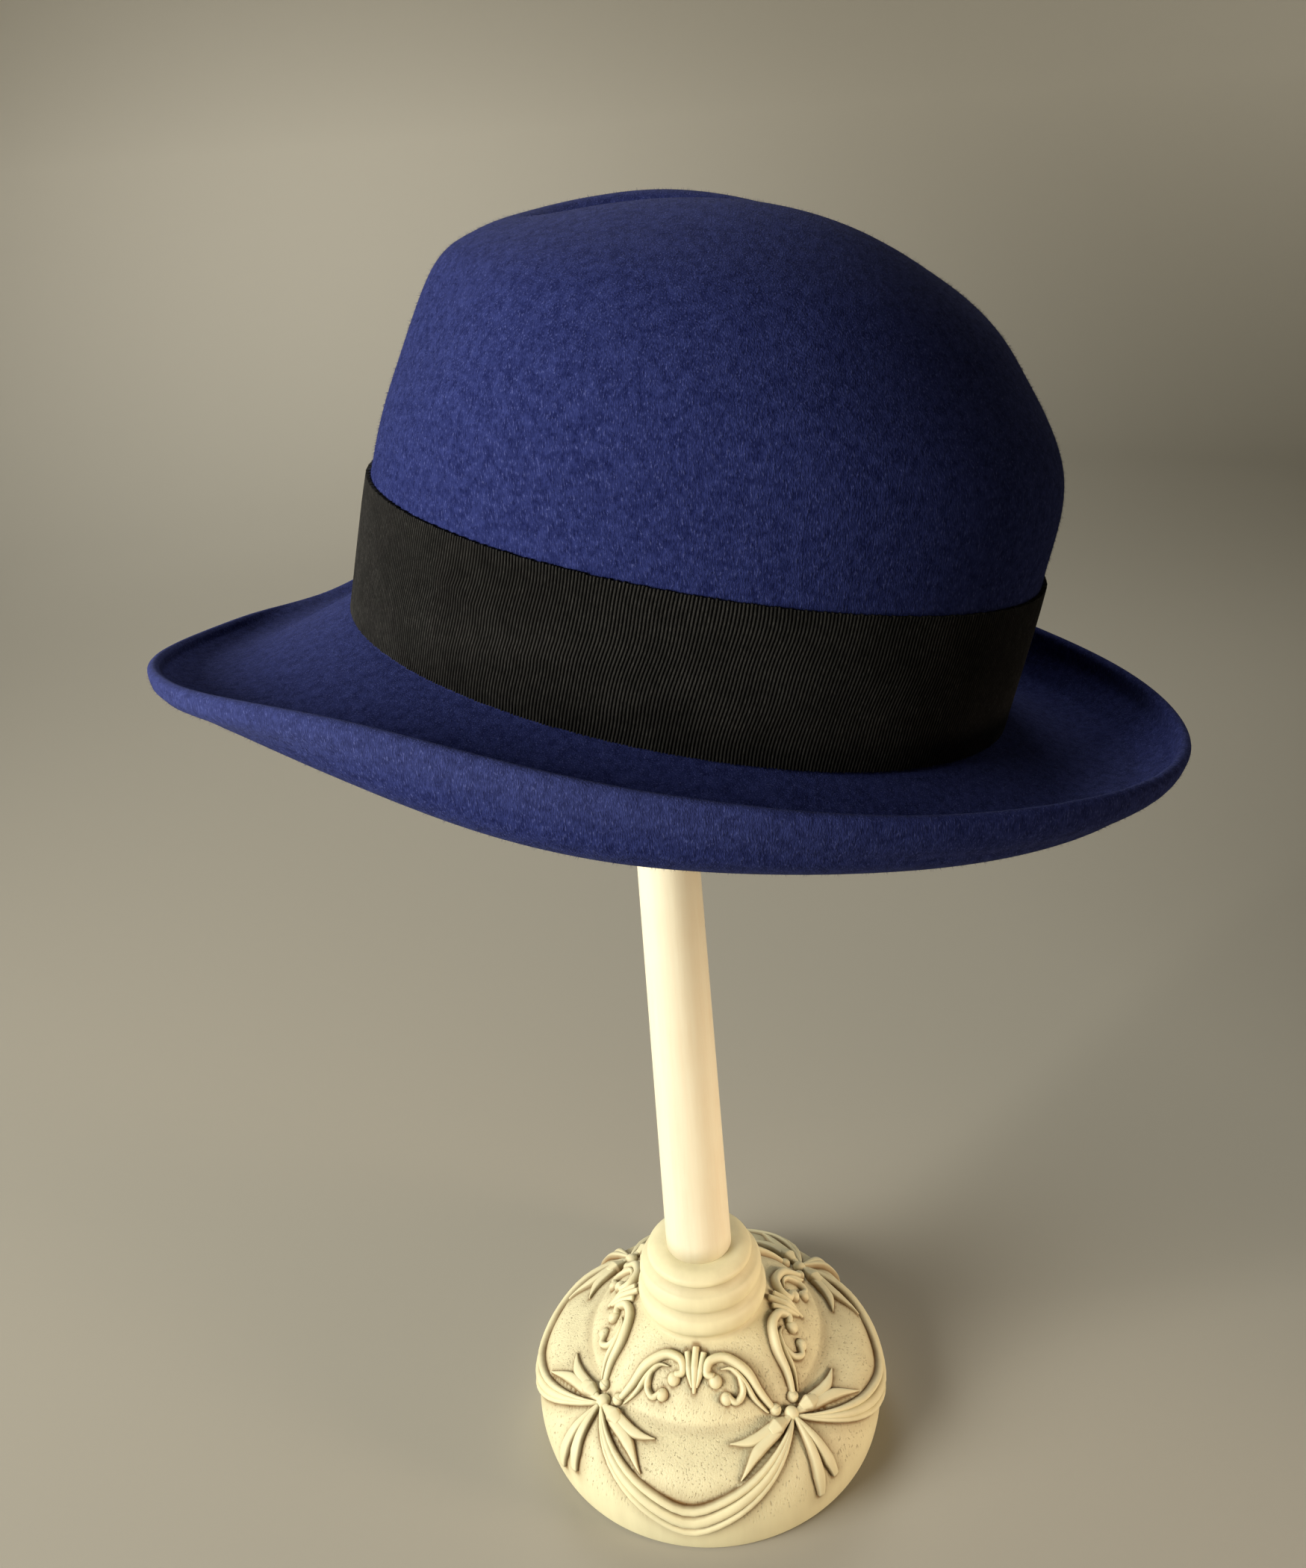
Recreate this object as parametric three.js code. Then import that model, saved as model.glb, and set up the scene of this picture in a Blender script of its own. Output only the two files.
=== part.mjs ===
// A felt fedora with a ribbed ribbon, set on a turned hat stand. Millimetres, +Z up.
// The origin is the middle of the stand's underside. The hat's front faces -Y and its left side faces +X.
import * as THREE from "three";

// How the hat sits on the stand
const HAT_PLACE = new THREE.Vector3(-2, 7, 326.5);
const TIP_BACK_DEGREES = 10.5;
const TIP_RIGHT_DEGREES = 4.8;

// Felt and ribbon
const FELT_THICKNESS = 2.4;
const RIBBON_THICKNESS = 1;
const RIBBON_RISE = 0.6;
const CLEARANCE = 0.3;
const HAT_SIDES = 60;
const STEPS_PER_SECTION = 3;
const BRIM_STEPS = 12;

// Sections of the crown's outside, from the brim break up over the rim and down into the dent.
// front, back and half are an oval's reach from the hat's axis. lift raises the front over the back,
// sag raises front and back over the sides, and twist raises the right front and the left back, since the
// dent was pressed by hand.
const CROWN_SECTIONS = [
  { at: "brim break", height: 0, front: 100, back: 99.7, half: 82.4, lift: 1.6, sag: -0.3, twist: 0 },
  { at: "ribbon top", height: 41.5, front: 96, back: 101.4, half: 82.5, lift: 1, sag: 0, twist: 0 },
  { at: "wall", height: 72, front: 90, back: 100, half: 84.5, lift: 0, sag: -1.5, twist: 0 },
  { at: "upper wall", height: 96.5, front: 82, back: 82.7, half: 77.5, lift: 1.7, sag: 0.5, twist: 0 },
  { at: "shoulder", height: 111, front: 71, back: 68, half: 62, lift: 0.8, sag: -1.5, twist: 1.3 },
  { at: "rim", height: 121, front: 57.5, back: 52.5, half: 29, lift: 0.2, sag: -5.2, twist: 3 },
  { at: "dent wall", height: 113, front: 40, back: 40, half: 16, lift: 0, sag: -3, twist: 1.5 },
  { at: "dent floor", height: 104, front: 19.5, back: 21.5, half: 6, lift: 0, sag: -1, twist: 0 },
  { at: "dent middle", height: 102, front: 0, back: 0, half: 0, lift: 0, sag: 0, twist: 0 },
];
const RIBBON_TOP_SECTION = 1;

// The pinch beside the front, the same on both sides: where it is, how deep, and how far it spreads
const PINCH = { degrees: 43, height: 93, depth: 5, spreadDegrees: 20, spreadHeight: 24 };

// Sections of the brim, evenly spaced from the front round to the back. The brim leaves the crown
// sloping down by dip, stays straight for a share of its width, then bends up to the angle curl at its edge.
const BRIM_SECTIONS = [
  { at: "front", width: 57, dip: 36.5, curl: 6, straight: 0.54 },
  { at: "front quarter", width: 62.5, dip: 24, curl: 30, straight: 0.36 },
  { at: "side", width: 60.5, dip: 22, curl: 109, straight: 0.43 },
  { at: "back quarter", width: 51.5, dip: 16.5, curl: 83, straight: 0.39 },
  { at: "back", width: 54.5, dip: 8.5, curl: 47, straight: 0.31 },
];

// Stand, turned about Z: outlines from the bottom up, as radius and height
const BASE_SIDES = 32;
const BASE_OUTLINE = [
  { at: "foot", radius: 66.5, height: 0 },
  { at: "foot edge", radius: 68, height: 2 },
  { at: "skirt", radius: 69, height: 10 },
  { at: "skirt", radius: 68.3, height: 18 },
  { at: "skirt", radius: 65.5, height: 25 },
  { at: "skirt", radius: 60, height: 31 },
  { at: "skirt top", radius: 47.5, height: 36.5 },
  { at: "step", radius: 46, height: 37.6 },
  { at: "dome", radius: 41, height: 43.5 },
  { at: "dome", radius: 33.5, height: 50.5 },
  { at: "dome top", radius: 23.5, height: 57 },
];
const COLLAR_RINGS = [
  { at: "lower ring", radius: 25, middle: 62.8, half: 4.6, waist: 22 },
  { at: "upper ring", radius: 23.6, middle: 73.2, half: 4.6, waist: 20.6 },
  { at: "small ring", radius: 20.2, middle: 81.2, half: 2.4, waist: 17.4 },
];
const RING_BENDS = [-60, -30, 0, 30, 60];
const COLLAR_TOP = { radius: 17, height: 84 };
const POST_SIDES = 24;
const POST_FOOT_RADIUS = 12.5;
const POST_NECK_RADIUS = 8.4;
const POST_TOP = 409.5;
const HEAD_RADIUS = 34;
const HEAD_RIM = 6;
const HEAD_DOME = 12;
const HEAD_BENDS = 5;

// Colours
const FELT_BLUE = 0x2f3a92;
const RIBBON_BLACK = 0x141414;
const STAND_IVORY = 0xe6d9b4;

const UP = new THREE.Vector3(0, 0, 1);

// One column of a table, read between its rows as a smooth curve
function between(rows, column, place) {
  const last = rows.length - 1;
  const row = Math.min(Math.floor(place), last - 1);
  const t = place - row;
  const b = rows[row][column];
  const c = rows[row + 1][column];
  const a = row > 0 ? rows[row - 1][column] : 2 * b - c;
  const d = row + 1 < last ? rows[row + 2][column] : 2 * c - b;
  const straight = (c - a) * t;
  const bend = (2 * a - 5 * b + 4 * c - d) * t * t;
  const twist = (3 * b - a - 3 * c + d) * t * t * t;
  return b + (straight + bend + twist) / 2;
}

// A column of the brim's table at an angle from the front, the same left and right
function aroundBrim(column, angle) {
  const turn = Math.abs(Math.atan2(Math.sin(angle), Math.cos(angle)));
  const rows = [BRIM_SECTIONS[1], ...BRIM_SECTIONS, BRIM_SECTIONS.at(-2)];
  const place = (turn / Math.PI) * (BRIM_SECTIONS.length - 1);
  return between(rows, column, place + 1);
}

function pinchAt(angle, height) {
  const turn = Math.abs(Math.atan2(Math.sin(angle), Math.cos(angle)));
  const sideways = (THREE.MathUtils.radToDeg(turn) - PINCH.degrees) / PINCH.spreadDegrees;
  const upward = (height - PINCH.height) / PINCH.spreadHeight;
  return PINCH.depth * Math.exp(-sideways * sideways - upward * upward);
}

// A point on the crown's outside. The angle is 0 at the front and a quarter turn at the left.
function crownPoint(place, angle) {
  const size = (column) => between(CROWN_SECTIONS, column, place);
  const forward = Math.cos(angle);
  const left = Math.sin(angle);
  const reach = forward > 0 ? size("front") : size("back");
  const wave = size("sag") * Math.cos(2 * angle) - size("twist") * Math.sin(2 * angle);
  const point = new THREE.Vector3(size("half") * left, -reach * forward, 0);
  const radius = point.length();
  point.setLength(Math.max(radius - pinchAt(angle, size("height")), 0));
  point.z = size("height") + size("lift") * forward + wave;
  return point;
}

// The way straight out from the crown's oval, level with the ground
function outwards(place, angle) {
  const small = 0.01;
  const along = crownPoint(place, angle + small).sub(crownPoint(place, angle - small));
  return along.cross(UP).setZ(0).normalize();
}

// The brim's top from the brim break to its edge at one angle
function brimLine(angle) {
  const [width, dip, curl, straight] = ["width", "dip", "curl", "straight"].map((c) => aroundBrim(c, angle));
  const out = outwards(0, angle);
  const point = crownPoint(0, angle);
  const line = [];
  for (let step = 0; step < BRIM_STEPS; step++) {
    const share = (step + 0.5) / BRIM_STEPS;
    const bend = THREE.MathUtils.smoothstep(share, straight, 1);
    const slope = THREE.MathUtils.degToRad(-dip + (curl + dip) * bend);
    point.addScaledVector(out, (Math.cos(slope) * width) / BRIM_STEPS);
    point.addScaledVector(UP, (Math.sin(slope) * width) / BRIM_STEPS);
    line.push(point.clone());
  }
  return line;
}

function anglesRound() {
  return Array.from({ length: HAT_SIDES }, (_, side) => (2 * Math.PI * side) / HAT_SIDES);
}

// Faces between two rings of the same size, facing the side where the rings run anticlockwise
function joinRings(faces, ring, next) {
  for (let side = 0; side < HAT_SIDES; side++) {
    const after = (side + 1) % HAT_SIDES;
    faces.push(ring + side, next + side, next + after);
    faces.push(ring + side, next + after, ring + after);
  }
}

function meshGeometry(points, faces) {
  const geometry = new THREE.BufferGeometry();
  geometry.setFromPoints(points);
  geometry.setIndex(faces);
  geometry.computeVertexNormals();
  return geometry;
}

// The felt's upper face as one open sheet: the dent's middle, then rings out to the brim's edge
function feltTop() {
  const angles = anglesRound();
  const top = CROWN_SECTIONS.length - 1;
  const points = [crownPoint(top, 0)];
  for (let step = top * STEPS_PER_SECTION - 1; step >= 0; step--) {
    points.push(...angles.map((angle) => crownPoint(step / STEPS_PER_SECTION, angle)));
  }
  const lines = angles.map(brimLine);
  for (let step = 0; step < BRIM_STEPS; step++) {
    points.push(...lines.map((line) => line[step]));
  }
  const rings = (points.length - 1) / HAT_SIDES;
  const faces = [];
  for (let side = 0; side < HAT_SIDES; side++) {
    faces.push(0, 1 + side, 1 + ((side + 1) % HAT_SIDES));
  }
  for (let ring = 0; ring < rings - 1; ring++) {
    joinRings(faces, 1 + ring * HAT_SIDES, 1 + (ring + 1) * HAT_SIDES);
  }
  return meshGeometry(points, faces);
}

// The felt's full thickness: the upper face, its copy set in along the normals, and the cut edge
function feltGeometry() {
  const sheet = feltTop();
  const place = sheet.attributes.position;
  const normal = sheet.attributes.normal;
  const upper = [];
  const lower = [];
  for (let i = 0; i < place.count; i++) {
    const point = new THREE.Vector3().fromBufferAttribute(place, i);
    const facing = new THREE.Vector3().fromBufferAttribute(normal, i);
    upper.push(point);
    lower.push(point.clone().addScaledVector(facing, -FELT_THICKNESS));
  }
  const outside = Array.from(sheet.index.array);
  const faces = [...outside];
  for (let i = 0; i < outside.length; i += 3) {
    faces.push(outside[i] + upper.length, outside[i + 2] + upper.length, outside[i + 1] + upper.length);
  }
  joinRings(faces, upper.length - HAT_SIDES, 2 * upper.length - HAT_SIDES);
  return meshGeometry([...upper, ...lower], faces);
}

// A ring of ribbon that lies against the crown, from the brim break to its own height
function ribbonGeometry() {
  const angles = anglesRound();
  const low = RIBBON_RISE / CROWN_SECTIONS[RIBBON_TOP_SECTION].height;
  const places = [low];
  for (let step = 1; step <= STEPS_PER_SECTION * RIBBON_TOP_SECTION; step++) {
    places.push(step / STEPS_PER_SECTION);
  }
  const ringAt = (place, gap) =>
    angles.map((angle) => crownPoint(place, angle).addScaledVector(outwards(place, angle), gap));
  const outside = places.map((place) => ringAt(place, CLEARANCE + RIBBON_THICKNESS));
  const inside = places.map((place) => ringAt(place, CLEARANCE));
  const loops = [...outside.reverse(), ...inside];
  const faces = [];
  for (let loop = 0; loop < loops.length; loop++) {
    joinRings(faces, loop * HAT_SIDES, ((loop + 1) % loops.length) * HAT_SIDES);
  }
  return meshGeometry(loops.flat(), faces);
}

// A solid turned about Z from an outline that starts and ends on the axis
function turned(outline, sides) {
  const points = outline.map(([radius, height]) => new THREE.Vector2(radius, height));
  return new THREE.LatheGeometry(points, sides).rotateX(Math.PI / 2);
}

function baseOutline() {
  const outline = [[0, 0], ...BASE_OUTLINE.map((row) => [row.radius, row.height])];
  for (const ring of COLLAR_RINGS) {
    for (const degrees of RING_BENDS) {
      const bend = THREE.MathUtils.degToRad(degrees);
      const bulge = ring.radius - ring.waist;
      outline.push([ring.waist + bulge * Math.cos(bend), ring.middle + ring.half * Math.sin(bend)]);
    }
  }
  outline.push([COLLAR_TOP.radius, COLLAR_TOP.height], [0, COLLAR_TOP.height]);
  return outline;
}

function postOutline() {
  const foot = COLLAR_TOP.height + CLEARANCE;
  return [[0, foot], [POST_FOOT_RADIUS, foot], [POST_NECK_RADIUS, POST_TOP], [0, POST_TOP]];
}

function headOutline() {
  const seat = POST_TOP + CLEARANCE;
  const outline = [[0, seat], [HEAD_RADIUS, seat]];
  for (let bend = 0; bend < HEAD_BENDS; bend++) {
    const angle = ((Math.PI / 2) * bend) / HEAD_BENDS;
    outline.push([HEAD_RADIUS * Math.cos(angle), seat + HEAD_RIM + HEAD_DOME * Math.sin(angle)]);
  }
  outline.push([0, seat + HEAD_RIM + HEAD_DOME]);
  return outline;
}

function piece(name, geometry, color, roughness) {
  const material = new THREE.MeshStandardMaterial({ color, roughness, metalness: 0 });
  const mesh = new THREE.Mesh(geometry, material);
  mesh.name = name;
  return mesh;
}

const hat = new THREE.Group();
hat.add(piece("felt_body", feltGeometry(), FELT_BLUE, 0.95));
hat.add(piece("ribbon_band", ribbonGeometry(), RIBBON_BLACK, 0.7));
hat.position.copy(HAT_PLACE);
hat.rotation.order = "YXZ";
hat.rotation.x = -THREE.MathUtils.degToRad(TIP_BACK_DEGREES);
hat.rotation.y = -THREE.MathUtils.degToRad(TIP_RIGHT_DEGREES);

const stand = new THREE.Group();
stand.add(piece("stand_base", turned(baseOutline(), BASE_SIDES), STAND_IVORY, 0.6));
stand.add(piece("stand_post", turned(postOutline(), POST_SIDES), STAND_IVORY, 0.55));
stand.add(piece("stand_head", turned(headOutline(), POST_SIDES), STAND_IVORY, 0.6));

const fedora = new THREE.Group();
fedora.add(stand, hat);

export default fedora;
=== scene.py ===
# %% [markdown]
# # A felt fedora on its hat stand
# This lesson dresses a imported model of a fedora: a hat of blue wool felt with a ribbed ribbon, resting on a
# turned stand of ivory paint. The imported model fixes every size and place, in metres with Z up. The hat's
# front faces -Y and its left side faces +X. Each step adds one piece or one finish to that fixed frame.

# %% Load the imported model
import math

import bpy
import numpy as np
from mathutils import Matrix, Vector
from mathutils.kdtree import KDTree


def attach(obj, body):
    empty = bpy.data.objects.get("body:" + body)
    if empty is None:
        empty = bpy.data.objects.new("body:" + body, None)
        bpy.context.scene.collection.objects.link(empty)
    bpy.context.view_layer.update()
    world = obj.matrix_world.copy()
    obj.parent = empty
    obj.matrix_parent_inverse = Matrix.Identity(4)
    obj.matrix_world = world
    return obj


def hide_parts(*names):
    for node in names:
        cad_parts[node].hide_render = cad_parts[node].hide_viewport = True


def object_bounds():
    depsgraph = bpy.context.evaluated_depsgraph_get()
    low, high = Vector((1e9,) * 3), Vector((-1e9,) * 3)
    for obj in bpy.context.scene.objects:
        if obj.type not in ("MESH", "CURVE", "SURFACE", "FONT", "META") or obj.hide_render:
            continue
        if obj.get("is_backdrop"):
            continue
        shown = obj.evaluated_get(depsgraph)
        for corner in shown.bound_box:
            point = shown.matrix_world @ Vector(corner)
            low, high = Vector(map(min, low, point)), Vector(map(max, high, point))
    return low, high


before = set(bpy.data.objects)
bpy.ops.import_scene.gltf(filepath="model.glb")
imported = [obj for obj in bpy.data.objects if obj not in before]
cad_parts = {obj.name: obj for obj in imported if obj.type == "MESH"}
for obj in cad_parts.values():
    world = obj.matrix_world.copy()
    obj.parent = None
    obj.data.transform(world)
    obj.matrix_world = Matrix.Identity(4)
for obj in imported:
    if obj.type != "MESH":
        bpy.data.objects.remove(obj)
CAD_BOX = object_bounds()
print("packed nodes:", sorted(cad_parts))

# %% [markdown]
# ## The camera
# The camera stands level with the crown's top, a forearm's length away, on the hat's left and a little
# behind, and looks down. It is slightly rolled, so the post leans in the picture. A camera could be aimed
# by a constraint. Three turns in a row say it more plainly: round the stand, down from the horizon, and
# then about the lens.

# %% Set up the camera
IMAGE_HEIGHT = 2100
FOCAL_PIXELS = 1790
SENSOR = 36.0
CAMERA_AZIMUTH = math.radians(110.5)
CAMERA_DISTANCE = 0.3878
CAMERA_HEIGHT = 0.4663
CAMERA_PAN = math.radians(0.43)
CAMERA_PITCH = math.radians(25.64)
CAMERA_ROLL = math.radians(4.78)

camera_data = bpy.data.cameras.new("camera")
camera_data.sensor_width = SENSOR
camera_data.lens = SENSOR * FOCAL_PIXELS / IMAGE_HEIGHT
camera_data.clip_start = 0.01
camera = bpy.data.objects.new("camera", camera_data)
bpy.context.scene.collection.objects.link(camera)
stand_point = Vector((math.sin(CAMERA_AZIMUTH), -math.cos(CAMERA_AZIMUTH), 0)) * CAMERA_DISTANCE
stand_point.z = CAMERA_HEIGHT
camera.matrix_world = (
    Matrix.Translation(stand_point)
    @ Matrix.Rotation(CAMERA_AZIMUTH + CAMERA_PAN, 4, "Z")
    @ Matrix.Rotation(math.pi / 2 - CAMERA_PITCH, 4, "X")
    @ Matrix.Rotation(-CAMERA_ROLL, 4, "Z")
)
bpy.context.scene.camera = camera
print("camera at", [round(x, 3) for x in stand_point], "lens", round(camera_data.lens, 2), "mm")

# %% [markdown]
# ## Meshes from arrays
# Every form here is a grid of points: rings round the hat, ribs round the ribbon, turned rings on the
# stand. Blender can spin or loft such forms with modifiers. Plain arrays are used instead, because the same
# rows of points then also tell where fibres grow and where relief lies.

# %% Helpers that make meshes


def grid_faces(rows, columns, close_columns=True, close_rows=False):
    """Four-sided faces between neighbouring rows of a grid of points, counted row by row."""
    row = np.arange(rows if close_rows else rows - 1)
    column = np.arange(columns if close_columns else columns - 1)
    row, column = (part.ravel() for part in np.meshgrid(row, column, indexing="ij"))
    below = (row + 1) % rows
    after = (column + 1) % columns
    corners = ((row, column), (below, column), (below, after), (row, after))
    return np.stack([level * columns + side for level, side in corners], axis=1)


def face_list(*parts):
    """One list of faces from arrays of faces with any number of corners."""
    return [corners for part in parts for corners in part.tolist()]


def capped_rings(rings, first_middle, last_middle):
    """Points and faces of a closed skin: rings, and a fan from each end ring to a middle point."""
    sides = rings.shape[1]
    points = np.concatenate([rings.reshape(-1, 3), [first_middle, last_middle]])
    first = np.arange(sides)
    last = first + (len(rings) - 1) * sides
    first_fan = np.stack([np.full(sides, len(points) - 2), first, np.roll(first, -1)], axis=1)
    last_fan = np.stack([np.full(sides, len(points) - 1), np.roll(last, -1), last], axis=1)
    return points, face_list(grid_faces(len(rings), sides), first_fan, last_fan)


def spun_rings(outline, sides):
    """Rings of points from an outline of (radius, height) that is spun about Z."""
    around = np.linspace(0, 2 * math.pi, sides, endpoint=False)
    radius, height = outline[:, :1], np.repeat(outline[:, 1:], sides, axis=1)
    return np.stack([radius * np.sin(around), radius * -np.cos(around), height], axis=-1)


def make_piece(name, points, faces, material):
    """A new smooth mesh object from points in the part's frame and a list of faces."""
    mesh = bpy.data.meshes.new(name)
    mesh.from_pydata(np.asarray(points).reshape(-1, 3).tolist(), [], faces)
    mesh.polygons.foreach_set("use_smooth", [True] * len(mesh.polygons))
    mesh.materials.append(material)
    piece = bpy.data.objects.new(name, mesh)
    bpy.context.scene.collection.objects.link(piece)
    print("made", name, len(mesh.vertices), "points", len(mesh.polygons), "faces")
    return piece


def mark_points(piece, name, values):
    """Writes a number on each point of a piece, for its material to read."""
    marks = piece.data.attributes.new(name, "FLOAT", "POINT")
    marks.data.foreach_set("value", np.asarray(values, np.float32))


def smooth_column(rows, column, place):
    """One column of a table, read between its rows as a smooth curve. Place 0 is the first row."""
    values = np.array([row[column] for row in rows], float)
    first = 2 * values[0] - values[1]
    last = 2 * values[-1] - values[-2]
    padded = np.concatenate([[first], values, [last]])
    row = np.clip(np.floor(place).astype(int), 0, len(values) - 2)
    t = place - row
    a, b, c, d = (padded[row + step] for step in range(4))
    bend = (2 * a - 5 * b + 4 * c - d) * t**2
    twist = (3 * b - a - 3 * c + d) * t**3
    return b + ((c - a) * t + bend + twist) / 2


def smoothstep(low, high, value):
    """0 up to low, 1 from high, and a soft rise between them."""
    t = np.clip((value - low) / (high - low), 0, 1)
    return t * t * (3 - 2 * t)


def unit(vectors):
    """Vectors scaled to a length of 1."""
    return vectors / np.maximum(np.linalg.norm(vectors, axis=-1, keepdims=True), 1e-12)


# %% [markdown]
# ## Nodes for finishes
# Finishes are node trees. Two effects are shared: a fibrous grain, which felt, its fuzz and the ribbon all
# have at different scales, and a brushed film of paint, which the casting and the post have. Each is built
# once as a node group with named sockets and placed in each material with its own values.

# %% Helpers that make node trees


def feed(tree, socket, value):
    """Gives an input its value: a link from another socket, or a plain number, vector or colour."""
    if isinstance(value, bpy.types.NodeSocket):
        tree.links.new(value, socket)
    else:
        socket.default_value = value


def add_node(tree, kind, inputs=None, **settings):
    """A new node with its settings and inputs."""
    node = tree.nodes.new(kind)
    for setting, value in settings.items():
        setattr(node, setting, value)
    for socket, value in (inputs or {}).items():
        feed(tree, node.inputs[socket], value)
    return node


def math_node(tree, operation, *values, clamp=False):
    """A Math node whose inputs are sockets or numbers. Gives its output socket."""
    node = add_node(tree, "ShaderNodeMath", dict(enumerate(values)), operation=operation, use_clamp=clamp)
    return node.outputs[0]


MIX_FACTOR, MIX_FIRST, MIX_SECOND, MIX_RESULT = 0, 6, 7, 2


def mix_colour(tree, factor, first, second, blend="MIX"):
    """A colour Mix node whose inputs are sockets, numbers or colours. Gives its output socket."""
    inputs = {MIX_FACTOR: factor, MIX_FIRST: first, MIX_SECOND: second}
    return add_node(tree, "ShaderNodeMix", inputs, data_type="RGBA", blend_type=blend).outputs[MIX_RESULT]


def object_place(tree):
    """Each point's place in the part's frame."""
    return add_node(tree, "ShaderNodeTexCoord").outputs["Object"]


def stretched(tree, vector, factors):
    """A vector multiplied along each axis."""
    node = add_node(tree, "ShaderNodeVectorMath", {0: vector, 1: factors}, operation="MULTIPLY")
    return node.outputs["Vector"]


def point_mark(tree, name):
    """The number that mark_points wrote on each point."""
    return add_node(tree, "ShaderNodeAttribute", attribute_name=name).outputs["Fac"]


def new_group(name, inputs, outputs):
    """An empty shader node group with named sockets. Gives the tree, its input node and its output node."""
    tree = bpy.data.node_groups.new(name, "ShaderNodeTree")
    for socket, kind, value in inputs:
        made = tree.interface.new_socket(socket, in_out="INPUT", socket_type=kind)
        if value is not None:
            made.default_value = value
    for socket, kind in outputs:
        tree.interface.new_socket(socket, in_out="OUTPUT", socket_type=kind)
    return tree, tree.nodes.new("NodeGroupInput"), tree.nodes.new("NodeGroupOutput")


def new_material(name, roughness, **fixed):
    """A material with one Principled shader. Values that are the same all over go straight on its sockets."""
    material = bpy.data.materials.new(name)
    material.use_nodes = True
    shader = material.node_tree.nodes["Principled BSDF"]
    shader.inputs["Roughness"].default_value = roughness
    for socket, value in fixed.items():
        shader.inputs[socket.replace("_", " ")].default_value = value
    return material, material.node_tree, shader


def add_bump(tree, shader, height, distance, strength):
    """Feeds a height through a Bump node into the shader's normal."""
    bump = add_node(tree, "ShaderNodeBump", {"Strength": strength, "Distance": distance, "Height": height})
    tree.links.new(bump.outputs["Normal"], shader.inputs["Normal"])


# %% [markdown]
# ## Fibrous grain
# Felt is a mat of short wool fibres that the brush lays down the crown. Ribbon has the same kind of grain,
# only finer. One noise is stretched along Z and draws the brushed strands, a rounder one gives the mottle,
# and a wide one gives the clouds where the mat is denser. Those two are set askew, so that no rows of the
# noise show. The tips of the strands catch light, so the highest of them take a third colour. A
# photographed weave would also do, but noise has no seam and no tiles.

# %% Build the fibrous grain
NOISE_ROUGHNESS = 0.6
ASKEW = (0.5, 0.6, 0.4)
MOTTLE_SCALE = 0.16
MOTTLE_SHARE, STRAND_SHARE = 0.5, 0.5
CLOUD_SHADE, CLOUD_HEIGHT = 0.3, 0.5
TIP_GAIN, TIP_CUT = 4.0, 3.4


def noise_field(tree, vector, scale, detail, contrast):
    """A noise spread about one half by a contrast and cut at 0 and 1."""
    inputs = {"Vector": vector, "Scale": scale, "Detail": detail, "Roughness": NOISE_ROUGHNESS}
    noise = add_node(tree, "ShaderNodeTexNoise", inputs)
    return math_node(tree, "MULTIPLY_ADD", noise.outputs["Fac"], contrast, 0.5 - contrast / 2, clamp=True)


def build_fibre_grain():
    tree, given, result = new_group(
        "fibre_grain",
        [
            ("Deep", "NodeSocketColor", (0.01, 0.01, 0.01, 1)),
            ("Lit", "NodeSocketColor", (0.05, 0.05, 0.05, 1)),
            ("Tip", "NodeSocketColor", (0.1, 0.1, 0.1, 1)),
            ("Strand Scale", "NodeSocketFloat", 2400.0),
            ("Strand Stretch", "NodeSocketFloat", 0.3),
            ("Cloud Scale", "NodeSocketFloat", 200.0),
        ],
        [("Color", "NodeSocketColor"), ("Height", "NodeSocketFloat")],
    )
    place = object_place(tree)
    along_nap = {"X": 1.0, "Y": 1.0, "Z": given.outputs["Strand Stretch"]}
    nap = stretched(tree, place, add_node(tree, "ShaderNodeCombineXYZ", along_nap).outputs["Vector"])
    strands = noise_field(tree, nap, given.outputs["Strand Scale"], detail=2.0, contrast=3.0)
    turned = {"Vector": place, "Rotation": ASKEW}
    askew = add_node(tree, "ShaderNodeVectorRotate", turned, rotation_type="EULER_XYZ").outputs["Vector"]
    mottle_scale = math_node(tree, "MULTIPLY", given.outputs["Strand Scale"], MOTTLE_SCALE)
    mottle = noise_field(tree, askew, mottle_scale, detail=4.0, contrast=3.6)
    clouds = noise_field(tree, askew, given.outputs["Cloud Scale"], detail=3.0, contrast=1.6)
    strand_part = math_node(tree, "MULTIPLY", strands, STRAND_SHARE)
    shade = math_node(tree, "MULTIPLY_ADD", mottle, MOTTLE_SHARE, strand_part)
    colour = mix_colour(tree, shade, given.outputs["Deep"], given.outputs["Lit"])
    dense = math_node(tree, "MULTIPLY", clouds, CLOUD_SHADE)
    colour = mix_colour(tree, dense, colour, given.outputs["Deep"])
    tips = math_node(tree, "MULTIPLY_ADD", strands, TIP_GAIN, -TIP_CUT, clamp=True)
    colour = mix_colour(tree, tips, colour, given.outputs["Tip"])
    tree.links.new(colour, result.inputs["Color"])
    tree.links.new(math_node(tree, "MULTIPLY_ADD", clouds, CLOUD_HEIGHT, shade), result.inputs["Height"])
    return tree


def place_group(tree, group, **values):
    """A group node in a material, with that material's own values."""
    inputs = {socket.replace("_", " "): value for socket, value in values.items()}
    return add_node(tree, "ShaderNodeGroup", inputs, node_tree=group)


FIBRE_GRAIN = build_fibre_grain()
given_out = [socket.name for socket in FIBRE_GRAIN.interface.items_tree if socket.in_out == "OUTPUT"]
print("group", FIBRE_GRAIN.name, "gives", given_out)
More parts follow.
